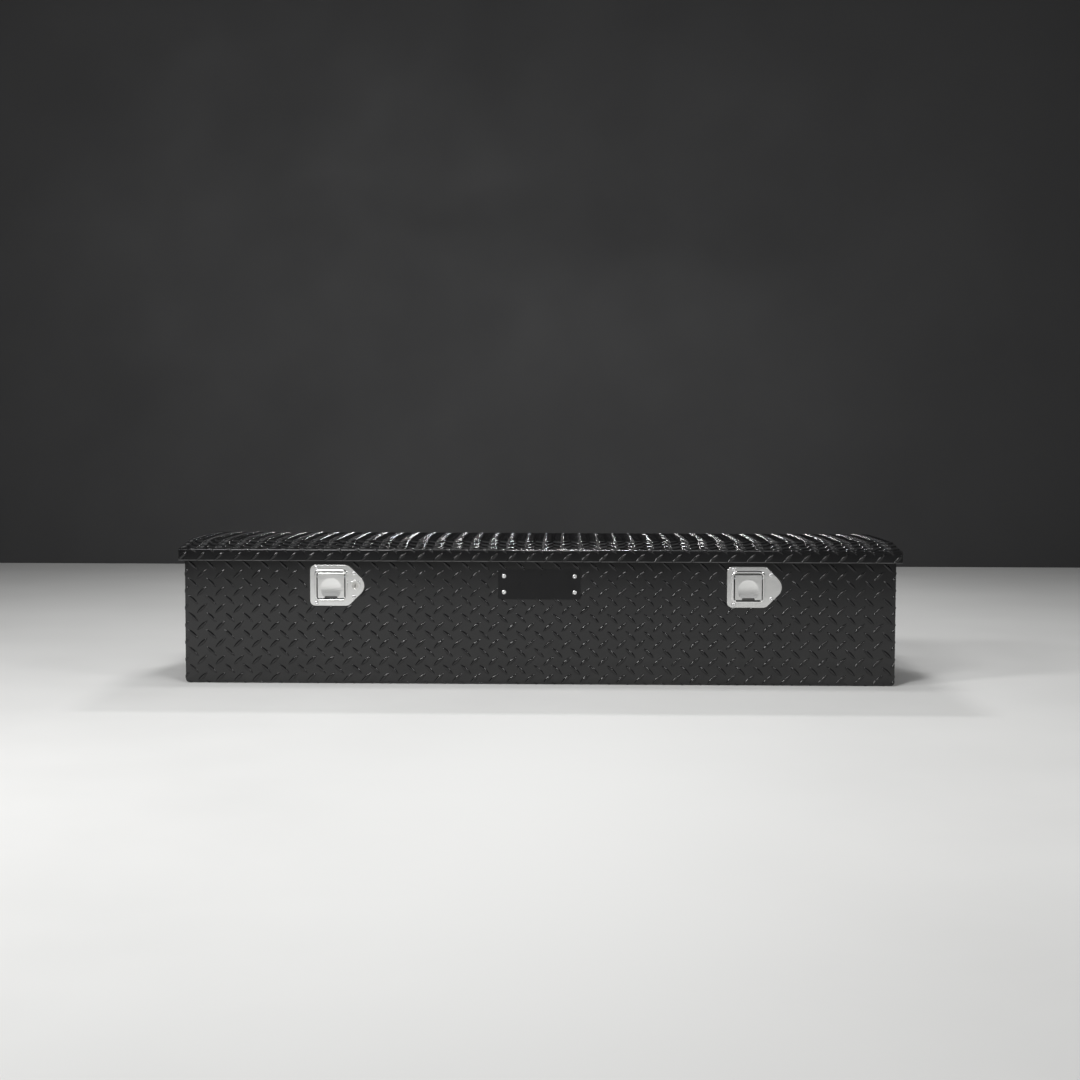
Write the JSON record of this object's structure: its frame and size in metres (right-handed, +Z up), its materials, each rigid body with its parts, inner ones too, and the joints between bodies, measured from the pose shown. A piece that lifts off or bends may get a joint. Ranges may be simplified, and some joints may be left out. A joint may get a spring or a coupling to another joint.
{
  "type": "truck tool box",
  "caption": "Low truck-bed chest tool box in black diamond tread plate, with a crowned foam-filled lid on a full-length hinge, gas struts and recessed paddle latches.",
  "frame": {"origin": "centre of the overall outline, on the ground under the box", "axes": "+X along the box, to the right seen from the latch side; -Y towards the latches; +Z up"},
  "size_m": [1.524, 0.52, 0.3],
  "materials": {
    "tread_black": "gloss black powder coat over diamond tread plate",
    "badge_black": "satin black",
    "stainless": "polished stainless",
    "lock_nickel": "satin nickel",
    "rivet_alloy": "bright, slightly rough",
    "zinc_steel": "zinc plated",
    "spring_steel": "bare spring steel",
    "hinge_steel": "stainless, satin",
    "seal_rubber": "matt black rubber",
    "liner_alloy": "mill finish",
    "core_foam": "sealed foam",
    "strut_black": "satin black",
    "rod_chrome": "ground chrome"
  },
  "bodies": {
    "tub": {"tub_wrap": "tread_black", "left_end_panel": "tread_black", "right_end_panel": "tread_black", "badge_plate": "badge_black", "left_latch_dish": "stainless", "right_latch_dish": "stainless", "left_lock_barrel": "stainless", "badge_rivets": "rivet_alloy", "hinge_tub_rivets": "rivet_alloy", "left_latch_rivets": "rivet_alloy", "right_latch_rivets": "rivet_alloy", "strut_tub_rivets": "rivet_alloy", "left_catch_bracket": "zinc_steel", "right_catch_bracket": "zinc_steel", "left_catch_pin": "zinc_steel", "right_catch_pin": "zinc_steel", "left_paddle_pin": "zinc_steel", "right_paddle_pin": "zinc_steel", "left_strut_tub_bracket": "zinc_steel", "right_strut_tub_bracket": "zinc_steel", "left_paddle_spring": "spring_steel", "right_paddle_spring": "spring_steel", "hinge_tub_leaf": "hinge_steel", "hinge_pin": "hinge_steel", "rim_seal": "seal_rubber", "left_latch_gasket": "seal_rubber", "right_latch_gasket": "seal_rubber"},
    "lid": {"lid_skin": "tread_black", "lid_core": "core_foam", "lid_liner": "liner_alloy", "lid_liner_rivets": "rivet_alloy", "hinge_lid_leaf": "hinge_steel", "hinge_lid_rivets": "rivet_alloy", "left_striker": "zinc_steel", "right_striker": "zinc_steel", "striker_rivets": "rivet_alloy", "left_strut_lid_bracket": "zinc_steel", "right_strut_lid_bracket": "zinc_steel", "strut_lid_rivets": "rivet_alloy"},
    "left_paddle": {"left_paddle": "stainless"},
    "right_paddle": {"right_paddle": "stainless"},
    "left_catch": {"left_catch_hook": "zinc_steel"},
    "right_catch": {"right_catch_hook": "zinc_steel"},
    "left_lock": {"left_lock_plug": "lock_nickel", "left_lock_cam": "zinc_steel", "left_lock_cam_nut": "zinc_steel"},
    "left_strut_tube": {"left_strut_cylinder": "strut_black"},
    "left_strut_ram": {"left_strut_rod": "rod_chrome"},
    "right_strut_tube": {"right_strut_cylinder": "strut_black"},
    "right_strut_ram": {"right_strut_rod": "rod_chrome"}
  },
  "joints": [
    {"name": "lid_hinge", "type": "hinge", "parent": "tub", "child": "lid", "pos_m": [0, 0.25615, 0.261], "axis": [-1, 0, 0], "range_deg": [0, 80]},
    {"name": "left_paddle_pull", "type": "hinge", "parent": "tub", "child": "left_paddle", "pos_m": [-0.44, -0.24685, 0.2271], "axis": [-1, 0, 0], "range_deg": [0, 28], "stiffness_Nm_per_rad": 0.3},
    {"name": "left_catch_swing", "type": "hinge", "parent": "tub", "child": "left_catch", "pos_m": [-0.44, -0.20805, 0.211], "axis": [1, 0, 0], "range_deg": [0, 34]},
    {"name": "left_strut_swing", "type": "hinge", "parent": "tub", "child": "left_strut_tube", "pos_m": [-0.7084, 0.21115, 0.181], "axis": [-1, 0, 0], "range_deg": [0, 68.92]},
    {"name": "left_strut_extend", "type": "slide", "parent": "left_strut_tube", "child": "left_strut_ram", "axis": [0, -0.9381, 0.3464], "range_m": [0, 0.10714]},
    {"name": "right_paddle_pull", "type": "hinge", "parent": "tub", "child": "right_paddle", "pos_m": [0.44, -0.24685, 0.2271], "axis": [-1, 0, 0], "range_deg": [0, 28], "stiffness_Nm_per_rad": 0.3},
    {"name": "right_catch_swing", "type": "hinge", "parent": "tub", "child": "right_catch", "pos_m": [0.44, -0.20805, 0.211], "axis": [1, 0, 0], "range_deg": [0, 34]},
    {"name": "right_strut_swing", "type": "hinge", "parent": "tub", "child": "right_strut_tube", "pos_m": [0.7084, 0.21115, 0.181], "axis": [-1, 0, 0], "range_deg": [0, 68.92]},
    {"name": "right_strut_extend", "type": "slide", "parent": "right_strut_tube", "child": "right_strut_ram", "axis": [0, -0.9381, 0.3464], "range_m": [0, 0.10714]},
    {"name": "left_lock_turn", "type": "hinge", "parent": "tub", "child": "left_lock", "pos_m": [-0.389, -0.24805, 0.209], "axis": [0, 1, 0], "range_deg": [0, 90]}
  ],
  "couplings": [
    {"joint": "left_catch_swing", "follows": "left_paddle_pull", "ratio": 1.2},
    {"joint": "left_strut_swing", "follows": "lid_hinge", "ratio": 0.86132},
    {"joint": "left_strut_extend", "follows": "lid_hinge", "m_per_rad": 0.076726},
    {"joint": "right_catch_swing", "follows": "right_paddle_pull", "ratio": 1.2},
    {"joint": "right_strut_swing", "follows": "lid_hinge", "ratio": 0.86132},
    {"joint": "right_strut_extend", "follows": "lid_hinge", "m_per_rad": 0.076726}
  ]
}
